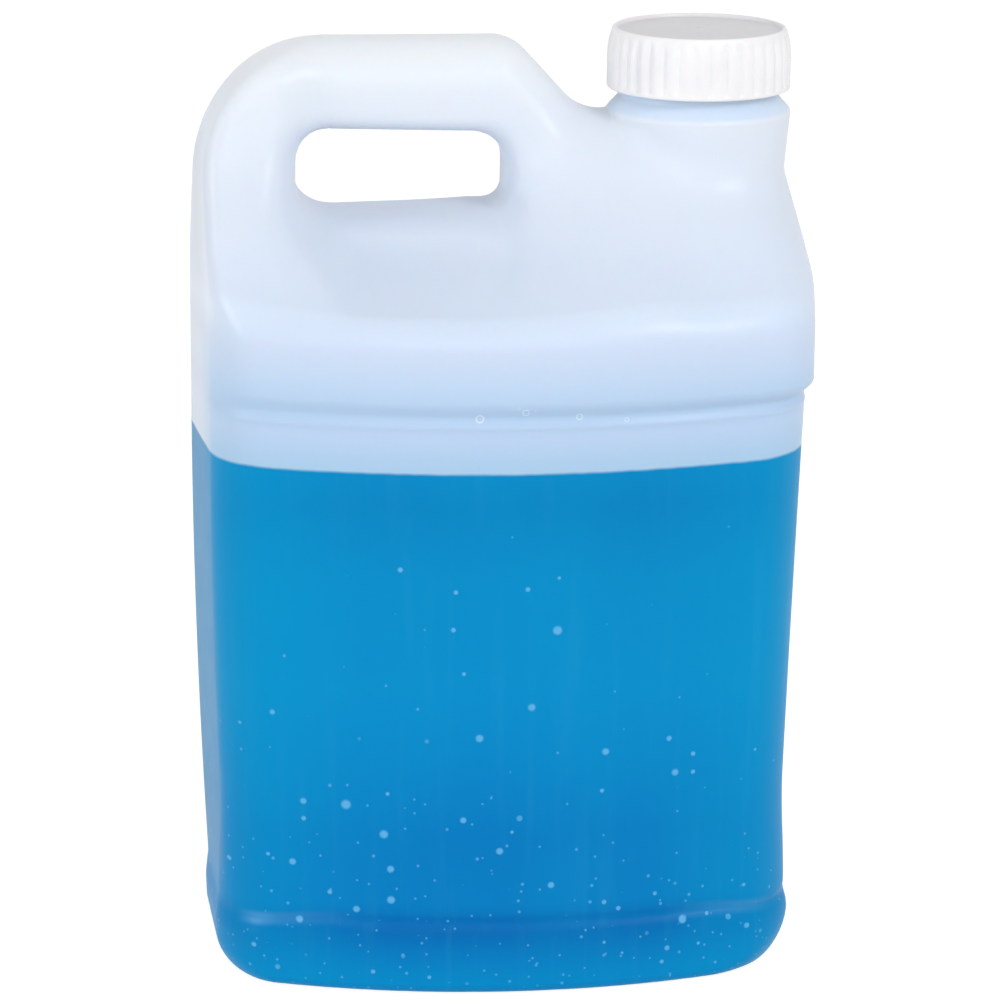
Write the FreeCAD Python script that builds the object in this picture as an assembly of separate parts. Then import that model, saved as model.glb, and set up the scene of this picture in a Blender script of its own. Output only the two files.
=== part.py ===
import FreeCAD
import Part
import math
import os

# An F-style jug of blow-moulded polyethylene with a ribbed screw cap, part full.
# Millimetres. The origin is at the bottom centre. The front faces -Y, the handle
# is towards -X and the neck towards +X.

# Overall
jug_length = 228.0
wall = 1.6
crown_radius = 258.0
foot_crown_radius = 285.0
side_lean = math.radians(7.0)
plan_corner = 22.0

# Foot, panel, groove and shoulder band, from the bottom up
foot_height = 21.0
foot_radius = 9.0
panel_bottom = 27.0
panel_top = 206.5
groove_bottom = 209.5
groove_top = 211.5
band_turn = 214.0
band_bottom = 218.0
ledge_height = 245.0
ledge_round = 5.0
panel_half_depth = 87.5
panel_draft_front = math.radians(0.8)
panel_draft_handle = math.radians(1.5)
panel_draft_neck = math.radians(1.75)
# the filled panel bows out on the handle side and is a little hollow on the neck side
panel_bow_handle = 1.4
panel_bow_neck = -0.3
panel_steps = 6
foot_step = 2.2
foot_step_neck = 3.0
foot_step_handle = 0.6
groove_depth = 1.5
band_step_front = 1.5
band_step_neck = 3.4

# Shoulder and ridge
ridge_height = 263.0
ridge_half_depth = 17.0
ridge_right_from_side = 11.0
ridge_corner = 12.0
ridge_end_drop = 7.22
ridge_crown = (jug_length / 2) ** 2 / (2 * ridge_end_drop)
# how far the cavity's shoulder lies under the outer one, for each mm of wall
shoulder_drop = 0.6
# the handle side of the ridge and of the handle stand a little inside the jug's side
ridge_set_in = 0.5
handle_set_in = 1.0

# Neck
neck_from_side = 42.9
neck_x = jug_length / 2 - neck_from_side
neck_radius = 28.8
neck_wall = 2.2
neck_bore = neck_radius - neck_wall
neck_overlap = 8.0
ring_radius = neck_radius + 4.5
ring_foot_radius = neck_radius + 3.0
ring_top = 310.0
ring_foot = 287.0
ring_edge_round = 4.0
cone_base_radius = 68.0
slope_foot = 249.0
thread_pitch = 25.4 / 6
thread_turns = 1.5
thread_height = 1.6
thread_root = 2.6
thread_crest = 1.2
thread_sunk = 0.4
thread_start = ring_top + 10.0

# Handle, between the jug's side and the neck
handle_half_depth = 18.0
handle_top = 335.8
handle_round = 49.0
handle_shoulder_x = neck_x - 74.1
handle_shoulder_round = 20.0
handle_edge_round = 13.0
valley_height = 308.6
valley_round = 12.0
leg_width = 38.2
slot_left = -jug_length / 2 + leg_width
slot_right = neck_x - 71.2
slot_bottom = 272.0
slot_top = 304.3
slot_round_left = 13.5
slot_round_right = 9.5
slot_edge_round = 12.0

# Cap, whose thread runs in the neck's thread
cap_stand = 6.3
cap_height = 22.0
cap_bottom = ring_top + cap_stand
cap_top = cap_bottom + cap_height
cap_play = 2.5
skirt_wall = 2.1
cap_bore = neck_radius + cap_play
cap_radius = cap_bore + skirt_wall
cap_rim_radius = cap_radius - 2.0
cap_taper_height = 11.0
cap_taper_bulge = 0.75
cap_panel = 1.6
rim_height = 1.4
rim_width = 1.3
rib_count = 36
rib_groove_depth = 0.7
rib_groove_width = 1.5
rib_top_gap = 3.5
thread_gap = 0.3
cap_thread_turns = 1.25
cap_thread_root = 1.6
cap_thread_crest = 1.0
gate_radius = 1.2
gate_height = 0.4

# Liner
liner_play = 0.7
liner_radius = cap_bore - liner_play
liner_thickness = 1.0
face_gap = 0.05
neck_top = cap_top - rim_height - cap_panel - liner_thickness - 2 * face_gap

# Contents
fill_height = 194.6
liquid_gap = 0.3

# Slack for picking edges and for cutters that run past what they cut
slack = 0.01
overrun = 2.0


def point(x, y, z=0.0):
    return FreeCAD.Vector(x, y, z)


def plan_corner_points(half_length, half_depth, crown, corner):
    """Tangent and middle points of one rounded corner, in the +X +Y quarter."""
    normal = (math.cos(side_lean), math.sin(side_lean))
    along = (-math.sin(side_lean), math.cos(side_lean))
    start = (half_length - corner * normal[0], -corner * normal[1])
    to_start = (start[0], start[1] - (half_depth - crown))
    b = to_start[0] * along[0] + to_start[1] * along[1]
    c = to_start[0] ** 2 + to_start[1] ** 2 - (crown - corner) ** 2
    run = -b + math.sqrt(b * b - c)
    centre = (start[0] + run * along[0], start[1] + run * along[1])
    turn = math.atan2(centre[1] - (half_depth - crown), centre[0])
    turns = (side_lean, (turn + side_lean) / 2, turn)
    return [(centre[0] + corner * math.cos(a), centre[1] + corner * math.sin(a)) for a in turns]


def plan_outline(z, sides, inset, crown=crown_radius, corner=plan_corner):
    """Closed outline of the jug at one height: two drafted halves with crowned walls."""
    left, right, half_depth = sides
    left = left + inset / math.cos(side_lean)
    right = right - inset / math.cos(side_lean)
    middle = (left + right) / 2
    depth = half_depth - inset
    side, bend, front = plan_corner_points((right - left) / 2, depth, crown - inset, corner - inset)

    def at(p, sx, sy):
        return point(middle + sx * p[0], sy * p[1], z)

    edges = []
    for sy in (1, -1):
        right_run = [Part.LineSegment(point(right, 0, z), at(side, 1, sy)),
                     Part.Arc(at(side, 1, sy), at(bend, 1, sy), at(front, 1, sy))]
        crown_run = [Part.Arc(at(front, 1, sy), point(middle, sy * depth, z), at(front, -1, sy))]
        left_run = [Part.Arc(at(front, -1, sy), at(bend, -1, sy), at(side, -1, sy)),
                    Part.LineSegment(at(side, -1, sy), point(left, 0, z))]
        half = [c.toShape() for c in right_run + crown_run + left_run]
        edges.extend(half if sy == 1 else half[::-1])
    return Part.Wire(edges)


def panel_sides(z):
    """Left and right extent and half depth of the panel, drafted and slightly bowed."""
    drop = panel_top - z
    along = 2 * drop / (panel_top - panel_bottom) - 1
    bow = max(0.0, 1 - along * along)
    left = -jug_length / 2 + drop * math.tan(panel_draft_handle) - panel_bow_handle * bow
    right = jug_length / 2 - band_step_neck - drop * math.tan(panel_draft_neck) + panel_bow_neck * bow
    depth = panel_half_depth - drop * math.tan(panel_draft_front)
    return left, right, depth


def foot_sides():
    left, right, depth = panel_sides(panel_bottom)
    return left - foot_step_handle, right + foot_step_neck, depth + foot_step


def groove_sides():
    left, right, depth = panel_sides(panel_top)
    return left, right - groove_depth, depth - groove_depth


def band_sides(share=1.0):
    """The shoulder band, or a place part of the way out to it from the panel."""
    left, right, depth = panel_sides(panel_top)
    return left, right + share * band_step_neck, depth + share * band_step_front


def ledge_sides():
    """The top of the band, drawn in by the rounding of the ledge."""
    left, right, depth = band_sides()
    return left, right, depth - ledge_round / 2


def lower_form(inset):
    """Foot, panel, groove and band as one stack of outlines."""
    foot = [(inset, foot_sides()), (foot_height, foot_sides())]
    outlines = [plan_outline(z, sides, inset, foot_crown_radius) for z, sides in foot]
    levels = []
    for i in range(panel_steps + 1):
        z = panel_bottom + (panel_top - panel_bottom) * i / panel_steps
        levels.append((z, panel_sides(z)))
    levels += [(groove_bottom, groove_sides()),
               (groove_top, groove_sides()),
               (band_turn, band_sides(0.7)),
               (band_bottom, band_sides()),
               (ledge_height - ledge_round, band_sides()),
               (ledge_height - shoulder_drop * inset, ledge_sides())]
    outlines += [plan_outline(z, sides, inset) for z, sides in levels]
    form = Part.makeLoft(outlines, True, True)
    bottom = [e for e in form.Edges if e.BoundBox.ZMax < inset + slack]
    return form.makeFillet(foot_radius - inset, bottom)


def shoulder_form(inset):
    """The sloping shoulder from the ledge up to the ridge."""
    drop = shoulder_drop * inset
    half = jug_length / 2
    ridge_sides = (-half + ridge_set_in, half - ridge_right_from_side, ridge_half_depth)
    ledge = plan_outline(ledge_height - drop, ledge_sides(), inset)
    ridge = plan_outline(ridge_height - drop, ridge_sides, inset, ridge_crown, ridge_corner)
    return Part.makeLoft([ledge, ridge], True, True)


def neck_cone(inset):
    """The forward swell under the neck, kept inside the leaning neck side."""
    drop = shoulder_drop * inset
    low = ledge_height - drop
    cone = Part.makeCone(cone_base_radius - inset, ring_foot_radius - inset, ring_foot - ledge_height,
                         point(neck_x, 0, low))
    left, right, depth = ledge_sides()
    top_sides = (left, neck_x + ring_foot_radius, depth)
    levels = [(low, ledge_sides()), (slope_foot - drop, ledge_sides()), (ring_foot - drop, top_sides)]
    lean = Part.makeLoft([plan_outline(z, sides, inset) for z, sides in levels], True, True)
    return cone.common(lean)


def arc_by_centre(x, z, radius, start, end):
    """An arc in the XZ plane, between two angles in degrees."""
    turn = [math.radians(a) for a in (start, (start + end) / 2, end)]
    ends = [point(x + radius * math.cos(a), 0, z + radius * math.sin(a)) for a in turn]
    return Part.Arc(*ends).toShape()


def ends_of(piece):
    """First and last point of an arc, or a point twice."""
    if isinstance(piece, FreeCAD.Vector):
        return piece, piece
    return piece.valueAt(piece.FirstParameter), piece.valueAt(piece.LastParameter)


def joined(pieces):
    """A closed wire through arcs and points, with straight lines between them."""
    edges = []
    for this, following in zip(pieces, pieces[1:] + pieces[:1]):
        here = ends_of(this)[1]
        there = ends_of(following)[0]
        if not isinstance(this, FreeCAD.Vector):
            edges.append(this)
        if here.distanceToPoint(there) > slack:
            edges.append(Part.LineSegment(here, there).toShape())
    return Part.Wire(edges)


def handle_outline(inset):
    """Front view of the handle and the ridge that runs from it into the neck."""
    left = -jug_length / 2 + handle_set_in + inset
    top = handle_top - inset
    outer_round = handle_round - inset
    shoulder_round = handle_shoulder_round - inset
    dip_round = valley_round + inset
    dip = valley_height - inset
    shoulder_z = top - shoulder_round
    # the straight run between the shoulder and the valley falls at 45 degrees
    reach = math.cos(math.radians(45))
    shoulder_end = (handle_shoulder_x + shoulder_round * reach, shoulder_z + shoulder_round * reach)
    dip_centre_z = dip + dip_round
    dip_start_z = dip_centre_z - dip_round * reach
    dip_start_x = shoulder_end[0] + shoulder_end[1] - dip_start_z
    dip_centre_x = dip_start_x + dip_round * reach
    return joined([arc_by_centre(left + outer_round, top - outer_round, outer_round, 180, 90),
                   arc_by_centre(handle_shoulder_x, shoulder_z, shoulder_round, 90, 45),
                   arc_by_centre(dip_centre_x, dip_centre_z, dip_round, 225, 270),
                   point(neck_x, 0, dip), point(neck_x, 0, ledge_height), point(left, 0, ledge_height)])


def slot_outline(grow):
    """Front view of the finger slot."""
    left, right = slot_left - grow, slot_right + grow
    low, high = slot_bottom - grow, slot_top + grow
    a, b = slot_round_left + grow, slot_round_right + grow
    return joined([arc_by_centre(left + a, high - a, a, 180, 90),
                   arc_by_centre(right - b, high - b, b, 90, 0),
                   arc_by_centre(right - b, low + b, b, 0, -90),
                   arc_by_centre(left + a, low + a, a, 270, 180)])


def slab(outline, half_depth):
    face = Part.Face(outline)
    face.translate(point(0, -half_depth))
    return face.extrude(point(0, 2 * half_depth))


def edges_where(form, test):
    return [e for e in form.Edges if test(e.BoundBox)]


def handle_form(inset):
    """Handle bar, its leg and the ridge, with rounded outer edges and slot rims."""
    depth = handle_half_depth - inset
    reach = inset + slack
    form = slab(handle_outline(inset), depth).cut(slab(slot_outline(inset), 2 * depth))

    def on_a_face(box):
        return box.YLength < slack and abs(abs(box.YMax) - depth) < slack

    def on_slot(box):
        across = box.XMin > slot_left - reach and box.XMax < slot_right + reach
        return across and box.ZMin > slot_bottom - reach and box.ZMax < slot_top + reach

    def on_top(box):
        return box.ZMin > slot_bottom and box.XMin < neck_x - slack and not on_slot(box)

    def on_leg(box):
        return box.XLength < slack and box.XMax < slot_left - reach

    form = form.makeFillet(slot_edge_round - inset, edges_where(form, lambda b: on_a_face(b) and on_slot(b)))
    outer = edges_where(form, lambda b: on_a_face(b) and (on_top(b) or on_leg(b)))
    return form.makeFillet(handle_edge_round - inset, outer)


def neck_boss(inset):
    """The round boss under the cap, with a rounded top edge."""
    low = ledge_height + inset
    foot = Part.makeCylinder(ring_foot_radius - inset, ring_foot - low, point(neck_x, 0, low))
    height = ring_top - inset - ring_foot
    ring = Part.makeCone(ring_foot_radius - inset, ring_radius - inset, height, point(neck_x, 0, ring_foot))
    boss = foot.fuse(ring).removeSplitter()
    top = edges_where(boss, lambda box: box.ZMin > ring_top - inset - slack)
    return boss.makeFillet(ring_edge_round - inset / 2, top)


def jug_form(inset):
    """The whole outer form, drawn in by the inset for the cavity."""
    body = lower_form(inset).fuse([shoulder_form(inset), neck_cone(inset)])
    body = body.cut(slab(slot_outline(inset), jug_length))
    return body.fuse([handle_form(inset), neck_boss(inset)]).removeSplitter()


def helix_ridge(root_radius, start, turns, height, sign, root, crest):
    """A right-hand thread ridge: a trapezoid swept up a helix; sign -1 points inward."""
    helix = Part.makeHelix(thread_pitch, turns * thread_pitch, root_radius)
    inner = root_radius - sign * thread_sunk
    outer = root_radius + sign * height
    corners = [point(inner, 0, -root / 2), point(outer, 0, -crest / 2), point(outer, 0, crest / 2),
               point(inner, 0, root / 2)]
    profile = Part.makePolygon(corners + corners[:1])
    ridge = Part.Wire(helix).makePipeShell([profile], True, True)
    ridge.translate(point(neck_x, 0, start))
    return ridge


def threaded_neck():
    low = ring_top - neck_overlap
    tube = Part.makeCylinder(neck_radius, neck_top - low, point(neck_x, 0, low))
    thread = helix_ridge(neck_radius, thread_start, thread_turns, thread_height, 1, thread_root, thread_crest)
    return tube.fuse(thread)


def make_jug_body():
    body = jug_form(0).fuse(threaded_neck())
    cavity = jug_form(wall)
    bore = Part.makeCylinder(neck_bore, neck_top - ring_foot + overrun, point(neck_x, 0, ring_foot))
    return body.cut([cavity, bore]).removeSplitter()


def make_liquid():
    side = 2 * jug_length
    below = Part.makeBox(side, side, fill_height, point(-side / 2, -side / 2, 0))
    return jug_form(wall + liquid_gap).common(below).removeSplitter()


def cap_outline():
    """Half section of the cap: skirt, tapered shoulder, raised rim and recessed panel."""
    shoulder_z = cap_top - cap_taper_height
    middle_r = cap_rim_radius + cap_taper_bulge * (cap_radius - cap_rim_radius)
    panel_z = cap_top - rim_height
    rim_inside = cap_rim_radius - rim_width
    centre_under = point(0, 0, panel_z - cap_panel)
    corner_under = point(cap_bore, 0, panel_z - cap_panel)
    skirt_inside = point(cap_bore, 0, cap_bottom)
    skirt_outside = point(cap_radius, 0, cap_bottom)
    shoulder = point(cap_radius, 0, shoulder_z)
    taper_middle = point(middle_r, 0, (shoulder_z + cap_top) / 2)
    rim_edge = point(cap_rim_radius, 0, cap_top)
    rim_inner = point(rim_inside, 0, cap_top)
    panel_edge = point(rim_inside, 0, panel_z)
    panel_centre = point(0, 0, panel_z)
    under = Part.makePolygon([centre_under, corner_under, skirt_inside, skirt_outside, shoulder]).Edges
    taper = Part.Arc(shoulder, taper_middle, rim_edge).toShape()
    over = Part.makePolygon([rim_edge, rim_inner, panel_edge, panel_centre, centre_under]).Edges
    return Part.Wire(under + [taper] + over)


def rib_grooves():
    """Narrow upright grooves that leave the wide flat ribs between them."""
    height = cap_top - rib_top_gap - cap_bottom
    radius = rib_groove_width / 2
    reach = cap_radius + radius - rib_groove_depth
    cutters = []
    for i in range(rib_count):
        groove = Part.makeCylinder(radius, height, point(reach, 0, cap_bottom))
        groove.rotate(point(0, 0, 0), point(0, 0, 1), 360.0 * i / rib_count)
        groove.translate(point(neck_x, 0, 0))
        cutters.append(groove)
    return cutters


def make_screw_cap():
    shell = Part.Face(cap_outline()).revolve(point(0, 0, 0), point(0, 0, 1), 360)
    shell.translate(point(neck_x, 0, 0))
    shell = shell.cut(rib_grooves())
    gate_foot = cap_top - rim_height - cap_panel / 2
    gate = Part.makeCylinder(gate_radius, cap_panel / 2 + gate_height, point(neck_x, 0, gate_foot))
    height = cap_bore - neck_radius - thread_gap
    start = thread_start - thread_pitch / 2
    thread = helix_ridge(cap_bore, start, cap_thread_turns, height, -1, cap_thread_root, cap_thread_crest)
    return shell.fuse([gate, thread])


def make_cap_liner():
    return Part.makeCylinder(liner_radius, liner_thickness, point(neck_x, 0, neck_top + face_gap))


def main():
    os.makedirs("parts", exist_ok=True)
    nodes = {"jug_body": make_jug_body(), "screw_cap": make_screw_cap(), "cap_liner": make_cap_liner(),
             "liquid": make_liquid()}
    for name, shape in nodes.items():
        shape.exportStep("parts/" + name + ".step")
        print(name, shape.isValid(), len(shape.Solids), round(shape.Volume / 1000, 1), "cm3")


main()
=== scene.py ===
import math
import bpy
import numpy as np
from mathutils import Matrix, Vector


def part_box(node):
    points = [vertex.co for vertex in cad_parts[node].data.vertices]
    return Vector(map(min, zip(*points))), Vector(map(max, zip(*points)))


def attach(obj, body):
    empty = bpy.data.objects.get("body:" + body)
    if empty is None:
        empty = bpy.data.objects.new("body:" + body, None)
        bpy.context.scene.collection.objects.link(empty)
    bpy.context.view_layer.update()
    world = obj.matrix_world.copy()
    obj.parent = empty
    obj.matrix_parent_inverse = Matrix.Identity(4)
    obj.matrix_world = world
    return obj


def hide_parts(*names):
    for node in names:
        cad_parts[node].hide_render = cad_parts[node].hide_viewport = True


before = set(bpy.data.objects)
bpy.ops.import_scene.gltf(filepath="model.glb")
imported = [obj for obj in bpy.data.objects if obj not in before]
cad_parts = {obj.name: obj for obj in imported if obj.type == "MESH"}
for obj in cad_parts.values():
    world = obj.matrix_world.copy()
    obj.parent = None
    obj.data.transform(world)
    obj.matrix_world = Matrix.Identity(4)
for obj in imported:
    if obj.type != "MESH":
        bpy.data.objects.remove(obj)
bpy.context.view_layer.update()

print("frame loaded")

# places taken from the CAD nodes, in millimetres
jugHigh = np.array(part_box("jug_body")[1]) * 1000
capLow, capHigh = [np.array(corner) * 1000 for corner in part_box("screw_cap")]
liquidHigh = np.array(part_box("liquid")[1]) * 1000
linerLow = np.array(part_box("cap_liner")[0]) * 1000
neckX = (capLow[0] + capHigh[0]) / 2
fillHeight = liquidHigh[2]

# the jug's form in millimetres and degrees: what a user would change
# most pairs of numbers say where a change starts and where it is complete
jug = {
    "wall": 1.6, "skinVoxels": (4, 2.6), "hollowVoxels": (5, 4.6), "plainWalls": (14, 238),
    # heights of closer rows of faces: at the foot's edge, then from, to and step
    # at the crease, at the groove and about the top of the neck's ring
    "footRows": (0.6, 1.5, 2.8, 4.2), "creaseRows": (15, 33, 1.5), "grooveRows": (206.5, 223, 1.0),
    "ringRows": (-1.2, 1, 0.6), "ringReach": 35.2, "ringLevel": 1.5, "ringFrom": 300,
    # the outline from above: the crown of the front, the lean of the ends and the corners
    "crown": 258, "lean": 7, "footLean": 3.5, "footBlend": (70, 20), "partingRound": 3,
    "corner": 15, "footCorner": 17, "legCorner": 5.5, "legCornerUp": (238, 256), "legCornerAlong": (-60, -95),
    # the foot, its crease and the recess under it
    "footTop": 20, "footFade": 31, "footStep": 2.2, "footStepNeck": 1.4, "footStepHandle": 1.4,
    "footRound": 4, "footRoundNeck": 18, "footNeckAlong": (74, 110),
    "footRoundHandle": 11, "footHandleAlong": (84, 106),
    "creaseHeight": 27, "creaseDepth": 0.9, "creaseWidth": 2.0, "creaseFall": 3.6, "creaseAlong": (62, 106),
    "recess": 2.2, "recessEdge": (20, 34), "seam": 0.8, "seamWidth": 1.4,
    # the walls up to the band, with their draft and bow, the bead and the groove
    "panelTop": 206.5, "panelHalfDepth": 87.5, "draftFront": 0.8, "draftHandle": 1.5, "draftNeck": 1.75,
    "bowHandle": 1.4, "bowNeck": -0.3, "beadHeight": 211.4, "beadWidth": 1.2, "bead": 0.4,
    "grooveHeight": 214.6, "grooveWidth": 2.1, "groove": 0.85,
    "bandLow": 214.5, "bandHigh": 220.5, "bandStepFront": 1.44, "bandStepNeck": 3.4, "bandDropNeck": 1.8,
    # the shoulder's roof and its slope on the neck side
    "ledge": 247, "ledgeRound": 9, "roofSlope": 0.24, "roofBlend": 18,
    "slopeFoot": 249, "slopeTop": 287, "slopeIn": 11.1,
    # the handle, its leg, which fades out past its right edge, and the ridge down to the neck
    "handleTop": 335.8, "handleDepth": 18, "handleInset": 1.7, "handleInsetUp": (250, 305), "handleCorner": 48,
    "legRight": -75.8, "legFade": (-9, 10), "legFadeMore": 0.3, "legTop": 296, "legBend": 26, "legTurn": (320, 280),
    "legSpreadX": 0.75, "legSpreadY": 1.0, "legMost": 52,
    "shoulderRound": 5, "slopeReach": 228.75, "slopeTurn": 47.5,
    "valley": 308.4, "valleyBlend": 6, "ridgeIn": 40, "blockFrom": 40,
    # the finger slot: left, right, low and high, and the pinch beside it
    "slot": (-75.9, -0.5, 273.0, 303.4), "slotTaper": 0.025, "slotBend": 10,
    "slotRoundLeft": 12, "slotRoundRight": 12, "slotRoundLow": 7,
    "slotRim": 9, "slotRimFlat": 6, "slotRimEnds": (26, 38), "slotRimLeg": 0.35,
    "pinch": 1.5, "pinchTop": 292, "pinchFoot": 249, "pinchPlace": (4, -5), "pinchWidth": (9, 4),
    "pinchEnd": 0.3, "pinchDeep": (14, 22),
    # the cone and the ring under the neck
    "coneRadius": 68, "coneStretch": 0.75, "coneBlend": 16, "coneBlendMore": 16, "coneBlendAlong": (5, -30),
    "ringTop": 308.3, "ringRound": 0.9, "ringRadius": 33.8, "ringFoot": 287, "ringFootRadius": 31.7,
    "ringRise": 23, "ringLow": 250, "ringBlend": 7, "ringBlendEnds": 1.2, "ringBlendDeep": (8, 24),
    # the neck's finish, up to just under the liner, and its thread of six turns to the inch
    "neckRadius": 28.8, "bore": 26.6, "neckCut": 309.6, "hollowDown": 1.2, "neckFoot": 313.6,
    "neckTop": linerLow[2] - 0.05, "neckRows": (317.5, 328.5), "boreRow": 325, "lip": 0.7,
    "threadStart": 320, "threadPitch": 25.4 / 6, "threadTurns": 1.5,
    "threadHeight": 1.6, "threadRoot": 2.6, "threadCrest": 1.2,
    # the liquid's play in the hollow, and the width and drop of its rolled edge and of the dish inside that
    "liquidPlay": 0.3, "liquidEdge": (1.2, 0.6), "liquidDish": (4, 0.2),
}


def ease(a, b, v):
    t = np.clip((v - a) / (b - a), 0, 1)
    return t * t * (3 - 2 * t)


def bump(centre, width, v):
    return np.exp(-((v - centre) / width) ** 2)


def softMin(a, b, k):
    h = np.clip(0.5 + 0.5 * (b - a) / k, 0, 1)
    return b + (a - b) * h - k * h * (1 - h)


def roundMax(a, b, r):
    return np.minimum(np.maximum(a, b), -r) + np.hypot(np.maximum(a + r, 0), np.maximum(b + r, 0))


def between(pair, share):
    return pair[0] + (pair[1] - pair[0]) * share


# left, right and half depth of the walls at a height; the foot's crease falls a little towards both ends
def wallPlaces(x, z):
    j = jug
    half = jugHigh[0]
    drop = j["panelTop"] - np.minimum(z, j["panelTop"])
    along = 2 * drop / (j["panelTop"] - j["footTop"]) - 1
    bow = np.clip(1 - along ** 2, 0, 1)
    atFoot = z + j["creaseFall"] * ease(*j["creaseAlong"], np.abs(x))
    foot = 1 - ease(j["footTop"], j["footFade"], atFoot)
    band = ease(j["bandLow"], j["bandHigh"], z)
    bandNeck = ease(j["bandLow"], j["bandHigh"], z + j["bandDropNeck"])
    line = j["bead"] * bump(j["beadHeight"], j["beadWidth"], z)
    line -= j["groove"] * bump(j["grooveHeight"], j["grooveWidth"], z)
    line -= j["creaseDepth"] * bump(j["creaseHeight"], j["creaseWidth"], atFoot)
    left = -half + drop * math.tan(math.radians(j["draftHandle"])) - j["bowHandle"] * bow - j["footStepHandle"] * foot
    left += j["handleInset"] * ease(*j["handleInsetUp"], z)
    right = half - j["bandStepNeck"] * (1 - bandNeck) - drop * math.tan(math.radians(j["draftNeck"]))
    right += j["bowNeck"] * bow
    right += j["footStepNeck"] * foot + line
    right -= j["slopeIn"] * np.clip((z - j["slopeFoot"]) / (j["slopeTop"] - j["slopeFoot"]), 0, 2)
    depth = j["panelHalfDepth"] - drop * math.tan(math.radians(j["draftFront"])) + j["footStep"] * foot + line
    depth += j["bandStepFront"] * band
    return left, right, depth


def slotDistance(x, z):
    left, right, low, high = jug["slot"]
    cx, cz = (left + right) / 2, (low + high) / 2
    rightRound = np.where(z < cz, jug["slotRoundLow"], jug["slotRoundRight"])
    r = np.where(x < cx, jug["slotRoundLeft"], rightRound)
    qx = np.abs(x - cx) - (right - left) / 2 + r
    qz = np.abs(z - cz) - (high - low) / 2 + jug["slotTaper"] * (x - cx) + r
    return np.hypot(np.maximum(qx, 0), np.maximum(qz, 0)) + np.minimum(np.maximum(qx, qz), 0) - r


# front view of the whole jug but its neck: the loop, the ridge and the block under the neck
def profileDistance(x, z, left, right):
    j = jug
    loop = roundMax(left - x, z - j["handleTop"], j["handleCorner"])
    turn = math.radians(j["slopeTurn"])
    loop = roundMax(loop, x * math.sin(turn) + z * math.cos(turn) - j["slopeReach"], j["shoulderRound"])
    ridge = np.maximum(z - j["valley"], left + j["ridgeIn"] - x)
    block = np.maximum(j["blockFrom"] - x, z - j["ringFoot"])
    whole = np.minimum(softMin(loop, ridge, j["valleyBlend"]), block)
    return np.maximum(whole, x - right)


# the roof of the shoulder, the handle that widens into a leg, and the neck's cone; with them the leg's spread
def upperForm(x, y, z, front):
    j = jug
    deep = np.abs(y)
    slope = j["roofSlope"]
    roof = (z - j["ledge"] - slope * np.maximum(-front, 0)) / math.hypot(1, slope)
    drop = (j["legTop"] - z + np.hypot(j["legTop"] - z, j["legBend"])) / 2
    below = (j["slot"][2] - z + np.hypot(j["slot"][2] - z, j["slotBend"])) / 2
    legRight = j["legRight"] + j["legSpreadX"] * below
    fadeFrom, fadeTo = j["legFade"]
    spread = j["legMost"] * np.tanh(j["legSpreadY"] * drop / j["legMost"])
    spread = spread * (1 - ease(legRight + fadeFrom, legRight + fadeTo + j["legFadeMore"] * below, x))
    handle = (deep - j["handleDepth"] - spread) / np.hypot(1, j["legSpreadY"] * ease(*j["legTurn"], z))
    wide = np.hypot(np.where(x < neckX, j["coneStretch"], 1) * (x - neckX), y)
    coneSlope = (j["coneRadius"] - j["ringFootRadius"]) / (j["ringFoot"] - j["ledge"])
    cone = (wide - j["ringFootRadius"] - coneSlope * (j["ringFoot"] - z)) / math.hypot(1, coneSlope)
    coneBlend = j["coneBlend"] + j["coneBlendMore"] * ease(*j["coneBlendAlong"], x - neckX)
    return softMin(softMin(roof, handle, j["roofBlend"]), cone, coneBlend), spread


# the ring under the neck, with the chamfer that leads up to it
def ringForm(x, y, z):
    j = jug
    rho = np.hypot(x - neckX, y)
    ring = between((j["ringFootRadius"], j["ringRadius"]), np.clip((z - j["ringFoot"]) / j["ringRise"], 0, 1))
    across, up = j["neckFoot"] - j["ringTop"], j["ringRadius"] - j["neckRadius"]
    chamfer = ((rho - j["ringRadius"]) * across + (z - j["ringTop"]) * up) / math.hypot(across, up)
    return np.maximum(roundMax(rho - ring, chamfer, j["ringRound"]), j["ringLow"] - z)


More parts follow.
